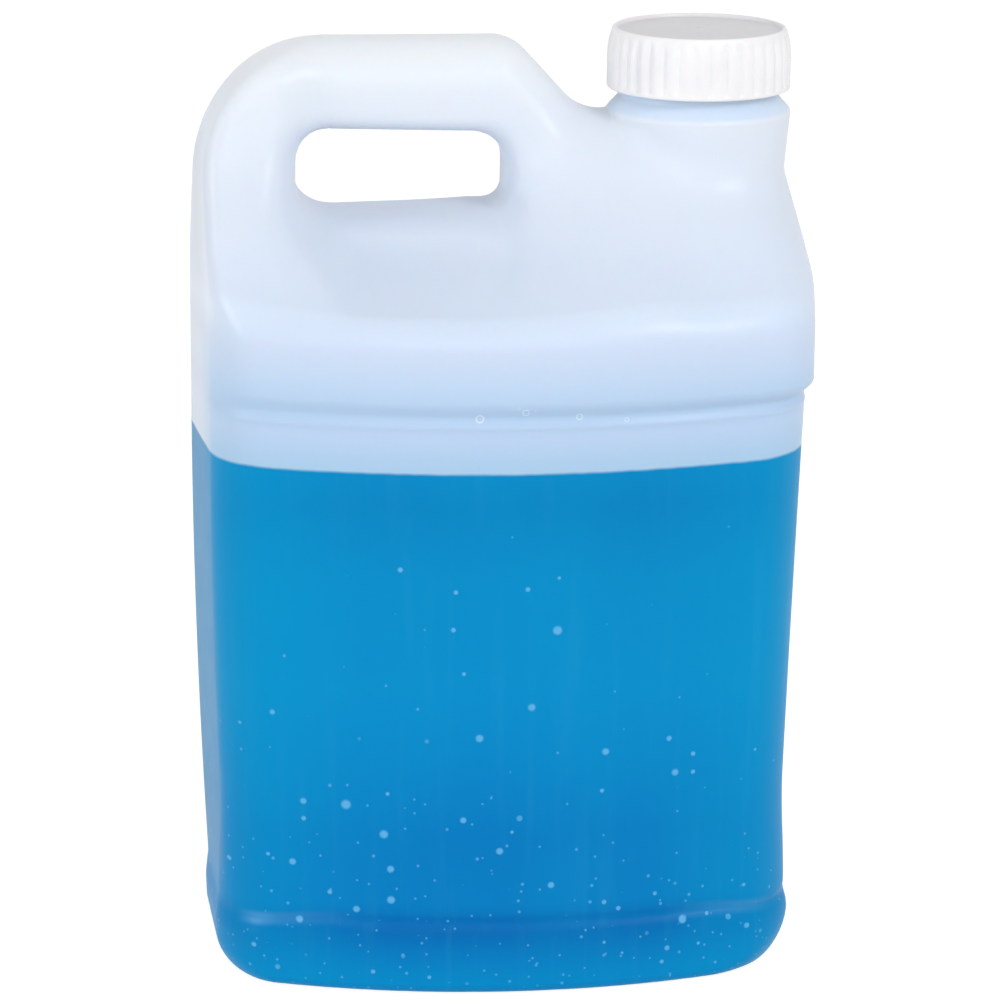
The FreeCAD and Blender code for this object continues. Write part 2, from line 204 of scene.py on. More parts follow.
# under 0 inside the jug, over 0 outside it, about the distance in between; a wall gives the hollow instead
def jugForm(p, wall=0):
    j = jug
    x, y, z = p.T
    deep = np.abs(y)
    side = np.hypot(y, j["partingRound"]) - j["partingRound"]
    left, right, depth = wallPlaces(x, z)
    middle = (left + right) / 2
    low = ease(*j["footBlend"], z)
    lean = np.radians(between((j["lean"], j["footLean"]), low))
    corner = between((j["corner"], j["footCorner"]), low)
    corner -= (j["corner"] - j["legCorner"]) * ease(*j["legCornerUp"], z) * ease(*j["legCornerAlong"], x)
    ends = profileDistance(x, z, left, right) * np.cos(lean) + side * np.sin(lean)
    front = np.hypot(x - middle, deep + j["crown"] - depth) - j["crown"]
    upper, spread = upperForm(x, y, z, front)
    form = roundMax(ends, roundMax(front, upper, j["ledgeRound"]), corner)
    # the foot's rounding, wider at both ends, and the recess with its seam
    footRound = between((j["footRound"], j["footRoundNeck"]), ease(*j["footNeckAlong"], x - middle))
    footRound += (j["footRoundHandle"] - j["footRound"]) * ease(*j["footHandleAlong"], middle - x)
    inner = ease(*j["recessEdge"], -roundMax(ends, front, corner))
    under = (j["recess"] - j["seam"] * bump(0, j["seamWidth"], y)) * inner
    form = roundMax(form, under - z, footRound)
    ringBlend = between((j["ringBlendEnds"], j["ringBlend"]), ease(*j["ringBlendDeep"], deep))
    form = softMin(form, ringForm(x, y, z), ringBlend)
    # the pinch beside the slot
    fall = np.clip((j["pinchTop"] - z) / (j["pinchTop"] - j["pinchFoot"]), 0, 1)
    pinch = j["pinch"] * bump(between(j["pinchPlace"], fall), between(j["pinchWidth"], fall), x)
    form += pinch * ease(0, j["pinchEnd"], fall) * ease(1, 1 - j["pinchEnd"], fall) * ease(*j["pinchDeep"], deep)
    fromMiddle = np.abs(x - (j["slot"][0] + j["slot"][1]) / 2)
    rim = between((j["slotRimFlat"], j["slotRim"]), ease(*j["slotRimEnds"], fromMiddle))
    form = roundMax(form, -slotDistance(x, z), rim + j["slotRimLeg"] * spread)
    return form + wall


def slopeOf(p, wall, step=0.05):
    g = np.empty_like(p)
    for i in range(3):
        d = np.zeros(3)
        d[i] = step
        g[:, i] = (jugForm(p + d, wall) - jugForm(p - d, wall)) / (2 * step)
    return g


def readPlaces(mesh):
    co = np.empty(len(mesh.vertices) * 3)
    mesh.vertices.foreach_get("co", co)
    return co.reshape(-1, 3) * 1000


def writePlaces(mesh, p):
    mesh.vertices.foreach_set("co", (p / 1000).ravel())
    mesh.update()


def byNeck(p, reach=37):
    return np.hypot(p[:, 0] - neckX, p[:, 1]) < reach


# moves every vertex onto the jug's form; the first rounds also even the faces out
# in the plain walls, and at last in the neck's ring too, a vertex keeps its height
def settle(mesh, rounds, relax, wall=0, reach=3, pull=0.5, leastSlope=0.05):
    p = readPlaces(mesh)
    edges = np.empty(len(mesh.edges) * 2, int)
    mesh.edges.foreach_get("vertices", edges)
    a, b = edges.reshape(-1, 2).T
    count = np.bincount(a, minlength=len(p)) + np.bincount(b, minlength=len(p))
    low, high = jug["plainWalls"]
    level = (p[:, 2] > low) & (p[:, 2] < high)
    if not relax:
        level |= byNeck(p, jug["ringReach"]) & (p[:, 2] > jug["ringTop"] - jug["ringLevel"])
    for i in range(rounds):
        g = slopeOf(p, wall)
        g[level, 2] = 0
        size = (g ** 2).sum(1)
        move = np.clip(jugForm(p, wall), -reach, reach)
        p = p - g * (move / np.maximum(size, leastSlope))[:, None]
        if i < relax:
            around = [np.bincount(a, p[b, k], len(p)) + np.bincount(b, p[a, k], len(p)) for k in range(3)]
            drift = np.stack(around, 1) / count[:, None] - p
            n = g / np.sqrt(np.maximum(size, 1e-6))[:, None]
            drift -= n * (drift * n).sum(1)[:, None]
            drift[level, 2] = 0
            p = p + pull * drift
    writePlaces(mesh, p)
    return np.abs(jugForm(p, wall)).max()


def deselect():
    if bpy.context.object and bpy.context.object.mode != "OBJECT":
        bpy.ops.object.mode_set(mode="OBJECT")
    bpy.ops.object.select_all(action="DESELECT")


# makes a piece the only one that operators act on
def focus(piece):
    deselect()
    piece.select_set(True)
    bpy.context.view_layer.objects.active = piece


def addBlock(low, high):
    low, high = np.array(low) / 1000, np.array(high) / 1000
    bpy.ops.mesh.primitive_cube_add(size=1, location=(low + high) / 2, scale=high - low)
    return bpy.context.object


def addDrum(x, radius, low, high):
    place = (x / 1000, 0, (low + high) / 2000)
    bpy.ops.mesh.primitive_cylinder_add(vertices=64, radius=radius / 1000, depth=(high - low) / 1000, location=place)
    return bpy.context.object


def applyAll(piece):
    bpy.context.view_layer.objects.active = piece
    for modifier in list(piece.modifiers):
        bpy.ops.object.modifier_apply(modifier=modifier.name)


def joinUp(parts, name):
    deselect()
    for part in parts:
        part.select_set(True)
    bpy.context.view_layer.objects.active = parts[0]
    bpy.ops.object.join()
    bpy.ops.object.transform_apply(location=True, rotation=True, scale=True)
    parts[0].name = name
    parts[0].data.name = name
    return parts[0]


# goes into edit mode with only the faces or vertices selected that pass a test of their places
def pick(piece, test, kind="FACE"):
    bpy.ops.object.mode_set(mode="EDIT")
    bpy.ops.mesh.select_mode(type=kind)
    bpy.ops.mesh.select_all(action="DESELECT")
    bpy.ops.object.mode_set(mode="OBJECT")
    mesh = piece.data
    if kind == "VERT":
        mesh.vertices.foreach_set("select", test(readPlaces(mesh)))
    else:
        co = np.empty(len(mesh.polygons) * 3)
        mesh.polygons.foreach_get("center", co)
        mesh.polygons.foreach_set("select", test(co.reshape(-1, 3) * 1000))
    bpy.ops.object.mode_set(mode="EDIT")


def selectOpen():
    bpy.ops.object.mode_set(mode="EDIT")
    bpy.ops.mesh.select_mode(type="EDGE")
    bpy.ops.mesh.select_all(action="DESELECT")
    bpy.ops.mesh.select_non_manifold(use_wire=False, use_multi_face=False, use_non_contiguous=False, use_verts=False)


# cuts what is selected at a level, and with clear_outer takes away what is over it
def cutLevel(z, **choices):
    bpy.ops.mesh.bisect(plane_co=(0, 0, z / 1000), plane_no=(0, 0, 1), **choices)


# opens the neck with a level cut and selects the cut edge
def openNeck(skin, z, reach=8):
    focus(skin)
    pick(skin, lambda p: byNeck(p) & (p[:, 2] > z - reach))
    cutLevel(z, clear_outer=True)
    bpy.ops.object.mode_set(mode="OBJECT")


# one closed skin over the jug or its hollow, drawn out of rough blocks that stand inside the form
def makeSkin(name, voxels, wall=0):
    deselect()
    j = jug
    left, right, high = j["slot"][0], j["slot"][1], j["slot"][3]
    half = jugHigh[0]
    # two opposite corners of each block
    corners = [((-half + 3, -70, 0), (half - 3, 70, 246)),
               ((-half + 12, -82, 0), (half - 12, 82, 246)),
               ((-half + 2, -45, 230), (half - 8, 45, 256)),
               ((-half + 2, -30, 230), (left + 4, 30, 280)),
               ((-half + 2, -17, 240), (left, 17, high + 8)),
               ((-half + 14, -17, high), (4, 17, j["handleTop"] - 6)),
               ((right, -17, 240), (18, 17, 318)),
               ((right, -17, 240), (neckX, 17, j["valley"]))]
    blocks = [addBlock(*pair) for pair in corners]
    blocks += [addDrum(neckX, 44, 240, 268), addDrum(neckX, j["ringFootRadius"] - 2, 240, j["ringTop"] + 3)]
    skin = joinUp(blocks, name)
    # the first remesh takes the blocks to the jug's form, the second spreads its faces evenly
    for voxel in voxels:
        remesh = skin.modifiers.new("even skin", "REMESH")
        remesh.mode = "VOXEL"
        remesh.voxel_size = voxel / 1000
        applyAll(skin)
        settle(skin.data, 14, 11, wall)
    return skin


# the liquid is the hollow cut level at the fill height, a hair inside the wall, with a rolled edge and a shallow dish
def makeLiquid(hollow):
    focus(hollow)
    bpy.ops.object.duplicate()
    liquid = bpy.context.object
    liquid.name = liquid.data.name = "liquid_fill"
    bpy.ops.object.mode_set(mode="EDIT")
    bpy.ops.mesh.select_all(action="SELECT")
    cutLevel(fillHeight, clear_outer=True)
    bpy.ops.object.mode_set(mode="OBJECT")
    settle(liquid.data, 4, 0, jug["wall"] + jug["liquidPlay"])
    selectOpen()
    bpy.ops.mesh.edge_face_add()
    for width, drop in (jug["liquidEdge"], jug["liquidDish"]):
        bpy.ops.mesh.inset(thickness=width / 1000)
        bpy.ops.transform.translate(value=(0, 0, -drop / 1000))
    bpy.ops.object.mode_set(mode="OBJECT")
    bpy.ops.object.shade_smooth_by_angle(angle=math.radians(30))
    return liquid


def makeJug():
    j = jug
    shell = makeSkin("jug_shell", j["skinVoxels"])
    print("jug skin", len(shell.data.vertices), "vertices")
    # closer rows of faces where the foot's crease, the groove and the ring run round
    bpy.ops.object.mode_set(mode="EDIT")
    for z in [*j["footRows"], *np.arange(*j["creaseRows"]), *np.arange(*j["grooveRows"])]:
        bpy.ops.mesh.select_all(action="SELECT")
        cutLevel(z)
    for z in np.arange(*j["ringRows"]) + j["ringTop"]:
        pick(shell, lambda p: byNeck(p, j["ringReach"]) & (p[:, 2] > j["ringFrom"]))
        cutLevel(z)
    openNeck(shell, j["neckCut"])
    off = settle(shell.data, 6, 0)
    hollow = makeSkin("jug_hollow", j["hollowVoxels"], j["wall"])
    liquid = makeLiquid(hollow)
    openNeck(hollow, j["neckCut"] - j["hollowDown"])
    settle(hollow.data, 4, 0, j["wall"])
    print("jug settled, largest miss", round(float(off), 3), "mm")
    finishNeck(shell, hollow)
    smoothSkin(shell)
    print("jug closed,", len(shell.data.polygons), "faces")
    return shell, liquid


# the skin takes its shading from the form itself, so that reflections run clean over it
def smoothSkin(shell, near=0.02):
    focus(shell)
    bpy.ops.object.shade_smooth_by_angle(angle=math.radians(45))
    mesh = shell.data
    normals, corners = np.empty(len(mesh.loops) * 3), np.empty(len(mesh.loops), int)
    mesh.corner_normals.foreach_get("vector", normals)
    mesh.loops.foreach_get("vertex_index", corners)
    p = readPlaces(mesh)
    lean = slopeOf(p, 0)
    lean /= np.linalg.norm(lean, axis=1)[:, None]
    onForm = (np.abs(jugForm(p)) < near) & (p[:, 2] < jug["neckCut"] - 0.1)
    normals = normals.reshape(-1, 3)
    normals[onForm[corners]] = lean[corners[onForm[corners]]]
    mesh.normals_split_custom_set(normals)


# the neck's finish: the cut edge is drawn up, rolled over the lip and down the bore to meet the hollow
def finishNeck(shell, hollow):
    j = jug
    focus(hollow)
    bpy.ops.object.mode_set(mode="EDIT")
    bpy.ops.mesh.select_all(action="SELECT")
    bpy.ops.mesh.flip_normals()
    focus(shell)
    selectOpen()
    # the cut edge is made level and truly round, at the chamfer's radius there
    top, r, bore, lip, foot, cut = [j[key] for key in ("neckTop", "neckRadius", "bore", "lip", "neckFoot", "neckCut")]
    ring = j["ringRadius"] - (cut - j["ringTop"]) * (j["ringRadius"] - r) / (foot - j["ringTop"])
    bpy.ops.transform.resize(value=(1, 1, 0), center_override=(neckX / 1000, 0, cut / 1000))
    bpy.ops.object.mode_set(mode="OBJECT")
    picked = np.zeros(len(shell.data.vertices), bool)
    shell.data.vertices.foreach_get("select", picked)
    p = readPlaces(shell.data)
    away = p[picked, :2] - (neckX, 0)
    p[picked, :2] = (neckX, 0) + away * (ring / np.linalg.norm(away, axis=1))[:, None]
    writePlaces(shell.data, p)
    bpy.ops.object.mode_set(mode="EDIT")
    path = [(r + 0.6, foot - 0.65), (r + 0.15, foot - 0.1), (r, foot + 0.5)]  # the fillet over the chamfer
    path += [(r, z) for z in j["neckRows"]]
    path += [(r, top - lip), (r - lip * 0.3, top - lip * 0.3), (r - lip, top)]
    path += [(bore + lip, top), (bore + lip * 0.3, top - lip * 0.3), (bore, top - lip)]
    path += [(bore, j["boreRow"]), (bore, foot - 0.2), (bore + 0.35, foot - 0.75)]
    path += [(ring - 1.5, cut - 0.9)]  # just over the hollow's own cut edge
    atR, atZ = ring, cut
    for nextR, nextZ in path:
        bpy.ops.mesh.extrude_region_move(TRANSFORM_OT_translate={"value": (0, 0, (nextZ - atZ) / 1000)})
        grow = nextR / atR
        bpy.ops.transform.resize(value=(grow, grow, 1), center_override=(neckX / 1000, 0, 0))
        atR, atZ = nextR, nextZ
    bpy.ops.object.mode_set(mode="OBJECT")
    joinUp([shell, hollow], "jug_shell")
    selectOpen()
    bpy.ops.mesh.bridge_edge_loops()
    bpy.ops.object.mode_set(mode="OBJECT")
    weld(shell, makeThread("neck_thread", r, 1, j["threadStart"], j))


# a thread's ridge, outward or inward: a flat grid wound up the helix, faded out and closed at its ends
def makeThread(name, radius, way, start, sizes, steps=64, sunk=0.4, least=0.05, fadeIn=0.07, fadeOut=0.93):
    turns, pitch = sizes["threadTurns"], jug["threadPitch"]
    height, root, crest = sizes["threadHeight"], sizes["threadRoot"], sizes["threadCrest"]
    deselect()
    bpy.ops.mesh.primitive_grid_add(x_subdivisions=int(steps * turns), y_subdivisions=4, size=2, location=(0, 0, 0))
    ridge = bpy.context.object
    ridge.name = name
    flat = readPlaces(ridge.data)
    u = (flat[:, 0] / 1000 + 1) / 2
    v = np.round((flat[:, 1] / 1000 + 1) * 2).astype(int) % 4
    fade = ease(0, fadeIn, u) * ease(1, fadeOut, u)
    rise = np.array([0, 1, 1, 0])[v] * (least + (height - least) * fade)
    inner = np.array([1, 0, 0, 1])[v] * sunk
    across = np.array([-root, -crest, crest, root])[v] / 2
    r = radius + way * (rise - inner)
    a = 2 * math.pi * turns * u
    z = start + pitch * turns * u + across
    writePlaces(ridge.data, np.stack([neckX + r * np.cos(a), r * np.sin(a), z], 1))
    bpy.ops.object.mode_set(mode="EDIT")
    bpy.ops.mesh.select_all(action="SELECT")
    bpy.ops.mesh.remove_doubles(threshold=1e-6)
    selectOpen()
    bpy.ops.mesh.fill()
    bpy.ops.mesh.select_all(action="SELECT")
    bpy.ops.mesh.normals_make_consistent(inside=False)
    bpy.ops.object.mode_set(mode="OBJECT")
    return ridge


def weld(piece, part):
    join = piece.modifiers.new("weld", "BOOLEAN")
    join.operation = "UNION"
    join.solver = "EXACT"
    join.object = part
    applyAll(piece)
    bpy.data.objects.remove(part)


shell, liquidPiece = makeJug()
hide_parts("jug_body")
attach(shell, "jug")
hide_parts("liquid")
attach(liquidPiece, "jug")

# the screw cap in millimetres, its outline drawn once and turned round the neck
cap = {
    "rim": 31.4, "rimWidth": 1.3, "edge": 0.35, "taper": 11, "bulge": 1.15, "bore": 31.3, "lip": 1.5,
    # the panel on top, its low dome and the gate's pip in the middle
    "panelDrop": 1.4, "panel": 1.6, "domeRadius": 27.5, "dome": 0.9, "gate": 0.9, "gateHeight": 0.2,
    "ribs": 36, "ribDepth": 0.9, "ribTop": 1.4, "ribFull": 4.6, "ribSharp": 1.8, "stepsPerRib": 10,
    "threadTurns": 1.25, "threadHeight": 2.2, "threadRoot": 1.6, "threadCrest": 1.0,
}


def lathe(name, outline, steps):
    deselect()
    x0, z0 = outline[0]
    bpy.ops.mesh.primitive_plane_add(size=0.001, location=((neckX + x0) / 1000, 0, z0 / 1000))
    piece = bpy.context.object
    piece.name = name
    bpy.ops.object.transform_apply(location=True)
    bpy.ops.object.mode_set(mode="EDIT")
    bpy.ops.mesh.select_mode(type="VERT")
    bpy.ops.mesh.select_all(action="SELECT")
    bpy.ops.mesh.merge(type="CENTER")
    bpy.ops.mesh.select_all(action="SELECT")
    for x1, z1 in outline[1:]:
        step = ((x1 - x0) / 1000, 0, (z1 - z0) / 1000)
        bpy.ops.mesh.extrude_region_move(TRANSFORM_OT_translate={"value": step})
        x0, z0 = x1, z1
    bpy.ops.mesh.select_all(action="SELECT")
    bpy.ops.mesh.spin(steps=steps, angle=2 * math.pi, center=(neckX / 1000, 0, 0), axis=(0, 0, 1))
    # the middle's points are drawn together on the axis, then all doubles are merged
    pick(piece, lambda p: byNeck(p, 0.02), "VERT")
    bpy.ops.transform.resize(value=(0, 0, 1), center_override=(neckX / 1000, 0, 0))
    bpy.ops.mesh.select_all(action="SELECT")
    bpy.ops.mesh.remove_doubles(threshold=4e-6)
    bpy.ops.mesh.normals_make_consistent(inside=False)
    bpy.ops.object.mode_set(mode="OBJECT")
    return piece


# radius and height along the cap's outline, from the middle of its top, out and down, then back inside
def capOutline():
    c = cap
    top, bottom, full, e = capHigh[2], capLow[2], (capHigh[0] - capLow[0]) / 2, c["edge"]
    disc = top - c["panelDrop"]
    under = disc - c["panel"]
    inRim, rim, bore = c["rim"] - c["rimWidth"], c["rim"], c["bore"]
    middle, gate, pip = disc + c["dome"], c["gate"], c["gateHeight"]
    outline = [(0, middle + pip * 0.5), (gate * 0.4, middle + pip * 0.5), (gate * 0.7, middle + pip)]
    outline += [(gate, middle + pip * 0.7), (gate + 0.15, middle)]
    dome = (4, 8, 12, 16, 19, 22, 24, 26)
    outline += [(r, disc + c["dome"] * (1 - (r / c["domeRadius"]) ** 3)) for r in dome]
    outline += [(c["domeRadius"], disc), (inRim - 1.2, disc), (inRim - 0.5, disc + 0.12), (inRim - 0.1, disc + 0.5)]
    outline += [(inRim, top - e), (inRim + e * 0.4, top - e * 0.25), (inRim + e, top)]
    outline += [(rim - e, top), (rim - e * 0.35, top - e * 0.3), (rim, top - e)]
    for drop in (0.9, 1.5, 2.2, 3, 4, 5.2, 6.8, 8.8, 11):
        t = 1 - drop / c["taper"]
        outline.append((rim + (full - rim) * (1 - t ** (2 * c["bulge"])), top - drop))
    outline += [(full, top - 14), (full, top - 17)]
    outline += [(full, bottom + up) for up in (2.2, 1.5, 0.9)]
    outline += [(full - 0.06, bottom + 0.45), (full - 0.3, bottom + 0.1), (full - 0.6, bottom)]
    outline += [(bore + 0.4, bottom), (bore + 0.1, bottom + 0.12), (bore, bottom + 0.5), (bore, bottom + 7)]
    outline += [(bore, under - 0.5), (bore - 0.15, under - 0.12), (bore - 0.5, under)]
    return outline + [(20, under), (10, under), (0, under)]


def makeCap():
    c = cap
    piece = lathe("cap_shell", capOutline(), c["ribs"] * c["stepsPerRib"])
    p = readPlaces(piece.data)
    x, y, z = p[:, 0] - neckX, p[:, 1], p[:, 2]
    r, a = np.hypot(x, y), np.arctan2(y, x)
    # the ribs: the skirt is pressed in between them, and smooth again at its lower lip
    wave = np.abs((c["ribs"] * a / math.pi) % 2 - 1) ** c["ribSharp"]
    depth = c["ribDepth"] * ease(c["ribTop"] - 1, c["ribFull"], capHigh[2] - z)
    depth = depth * ease(capLow[2] + 0.8, capLow[2] + c["lip"] + 0.9, z)
    r2 = np.where(r > c["rim"] - 0.01, r - depth * wave, r)
    grow = r2 / np.maximum(r, 1e-6)
    writePlaces(piece.data, np.stack([neckX + x * grow, y * grow, z], 1))
    # the thread runs half a pitch under the neck's own
    weld(piece, makeThread("cap_thread", c["bore"], -1, jug["threadStart"] - jug["threadPitch"] / 2, c))
    focus(piece)
    bpy.ops.object.shade_smooth_by_angle(angle=math.radians(40))
    print("cap made,", len(piece.data.polygons), "faces")
    return piece


capPiece = makeCap()
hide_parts("screw_cap")
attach(capPiece, "cap")


# a socket that can stand in a sum
class Wire:
    def __init__(self, paint, socket):
        self.paint, self.socket = paint, socket

    def maths(self, operation, *values):
        return self.paint.node("Math", {"operation": operation}, dict(enumerate(values)))

    def __add__(self, other):
        return self.maths("ADD", self, other)

    def __sub__(self, other):
        return self.maths("SUBTRACT", self, other)

    def __rsub__(self, other):
        return self.maths("SUBTRACT", other, self)

    def __mul__(self, other):
        return self.maths("MULTIPLY", self, other)

    def __truediv__(self, other):
        return self.maths("DIVIDE", self, other)

    def __rtruediv__(self, other):
        return self.maths("DIVIDE", other, self)

    __radd__, __rmul__ = __add__, __mul__

    def lesser(self, other):
        return self.maths("MINIMUM", self, other)

    def greater(self, other):
        return self.maths("MAXIMUM", self, other)

    # the value without its sign
    def size(self):
        return self.maths("ABSOLUTE", self)

    # another output of the same node
    def also(self, name):
        return Wire(self.paint, self.socket.node.outputs[name])


# the nodes of one material, or of the world, and the tools to fill them
class Paint:
    def __init__(self, block, shader="Principled BSDF", **fixed):
        block.use_nodes = True
        self.block, self.tree = block, block.node_tree
        self.shader = self.tree.nodes[shader]
        for socket, value in fixed.items():
            self.put(socket.replace("_", " "), value)

    def node(self, kind, settings=None, sockets=None, out=0):
        node = self.tree.nodes.new("ShaderNode" + kind)
        for key, value in (settings or {}).items():
            if key == "stops":
                ramp = node.color_ramp
                for i, (place, colour) in enumerate(value):
                    stop = ramp.elements[i] if i < 2 else ramp.elements.new(place)
                    stop.position, stop.color = place, colour
            else:
                setattr(node, key, value)
        for key, value in (sockets or {}).items():
            self.link(node.inputs[key], value)
        return Wire(self, node.outputs[out])

    def link(self, socket, value):
        if isinstance(value, Wire):
            self.tree.links.new(value.socket, socket)
        else:
            socket.default_value = value

    def put(self, socket, value):
        self.link(self.shader.inputs[socket], value)

    # places on the piece in millimetres; a small stretch draws a pattern out along that axis
    def places(self, stretch=(1, 1, 1)):
        at = self.node("TexCoord", out=3)
        return self.node("Mapping", {}, {0: at, "Scale": tuple(1000 * k for k in stretch)})

    def split(self, vector):
        x = self.node("SeparateXYZ", {}, {0: vector})
        return x, x.also("Y"), x.also("Z")

    def joined(self, x, y, z):
        return self.node("CombineXYZ", {}, {0: x, 1: y, 2: z})

    def distance(self, at, point):
        return self.node("VectorMath", {"operation": "DISTANCE"}, {0: at, 1: point}, 1)

    def fromNeck(self, x, y):
        return self.distance(self.joined(x, y, 0.0), (neckX, 0, 0))

    # from 0 at low to 1 at high, and the other way round
    def soft(self, value, low, high, start=0.0, end=1.0):
        sockets = {0: value, 1: low, 2: high, 3: start, 4: end}
        return self.node("MapRange", {"interpolation_type": "SMOOTHSTEP"}, sockets)

    def fall(self, value, low, high):
        return self.soft(value, low, high, 1.0, 0.0)

    def noise(self, at, size, detail=2.0):
        return self.node("TexNoise", {}, {"Vector": at, "Scale": 1 / size, "Detail": detail})

    def mix(self, factor, a, b):
        return self.node("Mix", {"data_type": "RGBA"}, {0: factor, 6: a, 7: b}, 2)

    # colours by value, from the first stop's to the last one's
    def ramp(self, value, stops):
        low, high = stops[0][0], stops[-1][0]
        places = [((at - low) / (high - low), shade(colour)) for at, colour in stops]
        return self.node("ValToRGB", {"stops": places}, {0: (value - low) / (high - low)})

    def bumps(self, height, strength, distance):
        self.put("Normal", self.node("Bump", {}, {"Strength": strength, "Distance": distance, "Height": height}))

    # 1 for the camera and for reflections, 0 for the light that falls on the object
    def seen(self):
        ray = self.node("LightPath")
        return ray.greater(ray.also("Is Glossy Ray"))


# a colour written as red, green and blue from 0 to 255
def shade(colour):
    linear = [(v / 255 / 12.92) if v <= 10 else ((v / 255 + 0.055) / 1.055) ** 2.4 for v in colour]
    return (*linear, 1)


def newPaint(name, **fixed):
    return Paint(bpy.data.materials.new(name), **fixed)


# the plastic over the air space and over the blue liquid, by height in millimetres, with painted light and shade in
# both ramps
plastic = {
    # over the air: a painted bluish glow rising from the liquid near the fill line, painted shade at the groove and
    # band, and the shoulder painted darker where it faces up to the lamps
    "air": [(194, (168, 201, 228)), (199, (172, 202, 230)), (207, (184, 207, 234)), (214, (178, 203, 230)),
            (218, (178, 204, 231)), (226, (190, 211, 236)), (238, (203, 217, 238)), (250, (212, 225, 243)),
            (275, (215, 224, 238)), (305, (221, 228, 239)), (336, (234, 237, 242))],
    # over the liquid: painted shade in dark bands above and below the foot's crease, lighter on its ledge
    "blue": [(0, (0, 143, 201)), (8, (0, 137, 197)), (12, (0, 131, 194)), (16.5, (0, 124, 190)),
             (21, (0, 114, 183)), (24, (0, 107, 178)), (28, (0, 112, 182)), (31, (0, 122, 189)),
             (34, (0, 127, 193)), (60, (0, 124, 191)), (88, (0, 134, 197)), (115, (0, 141, 200)),
             (155, (0, 139, 197)), (182, (0, 130, 190)), (194, (0, 134, 193))],
    # the fill line: how soft it is, how far it wavers and over what length
    "fillSoft": 0.7, "fillWobble": 0.35, "fillWave": 9.0,
    # thinner liquid towards the ends, and clouds in it, let more light through
    "blueEdge": (0, 150, 203), "edgeAlong": (40, 100), "edgeMix": 0.45,
    "cloudSize": 60.0, "cloudRange": (0.4, 0.75), "cloudMix": 0.25,
    "streak": (60, 165, 215), "streakSize": 1.6, "streakRange": (0.5, 0.8), "streakMix": 0.09,
    # the handle's end wall, seen at a grazing angle, gets a painted pale reflection with upright lines in it where
    # the blue stands behind, and is painted darker higher up as shade
    "endWallIn": (2.0, 6.5), "endWallUp": (26, 40), "endWallReflectionBlue": (92, 146, 187), "endWallBlueMix": 0.45,
    "endWallLine": 2.6, "endWallLines": 0.35, "endWallReflectionAir": (230, 230, 237), "endWallShadeHigh": (184, 190, 204),
    "endWallHighUp": (225, 262), "endWallMix": 0.55,
    # the painted shade on the ring under the neck, the bubbles, the foot's crease with its painted highlight, and the
    # drops with their pale rings
    "neckPaintedShade": (211, 227, 247), "neckOut": (33.6, 35.2), "neckUp": (308.2, 309.6),
    "frontFace": (-30, -20), "paleBubbleAndHighlight": (100, 180, 228), "bubbleEdge": (0.6, 1.3), "bubbleMix": 0.9,
    "tinyEdge": (0.6, 1.15), "tinyMix": 0.7,
    "creaseLow": (24.5, 27), "creaseHigh": (28.5, 31), "creaseFront": (60, 72), "creaseAlong": (50, 92),
    "creaseEnd": (-96, -84), "creaseHighlightMix": 0.4,
    "drop": (250, 253, 255), "dropInner": (0.55, 0.85), "dropOuter": (0.85, 1.15), "dropMix": 0.42,
    # the gloss over each part, with the leg's place along the jug and up it
    "coatAir": 0.36, "coatBlue": 0.04, "coatCrease": 0.75, "coatLeg": 0.5,
    "legEnd": (-102, -92), "legLow": (236, 248), "legHigh": (290, 318),
    # roughness, and the surface's grain: sizes, and how much of each there is
    "rough": 0.36, "roughMore": 0.14, "roughSize": 14.0, "grainSize": 1.1, "grain": 0.35,
    "swellSize": 7.0, "swell": 0.6, "parting": 1.2, "partingWidth": (0.1, 0.35), "dropEdge": 1.5,
    "bump": 0.12, "bumpDepth": 0.0004,
}

# small bubbles by the size of their cells: cell, radius and how many cells have one, low down
tinyBubbles = [(3.4, 0.5, 0.8), (5.2, 0.68, 0.7), (11.0, 1.2, 0.42)]
fewerHigher = [(0, (255, 255, 255)), (30, (190, 190, 190)), (80, (85, 85, 85)), (150, (30, 30, 30)), (194, (0, 0, 0))]

# drops that hang inside the wall above the fill line: across, height and radius
drops = [(-15.1, 214.6, 1.5), (0.9, 216.9, 1.3), (-1.6, 218.6, 0.5), (19.9, 214.8, 1.2), (36.7, 213.1, 0.8),
         (4.2, 217.6, 0.4)]

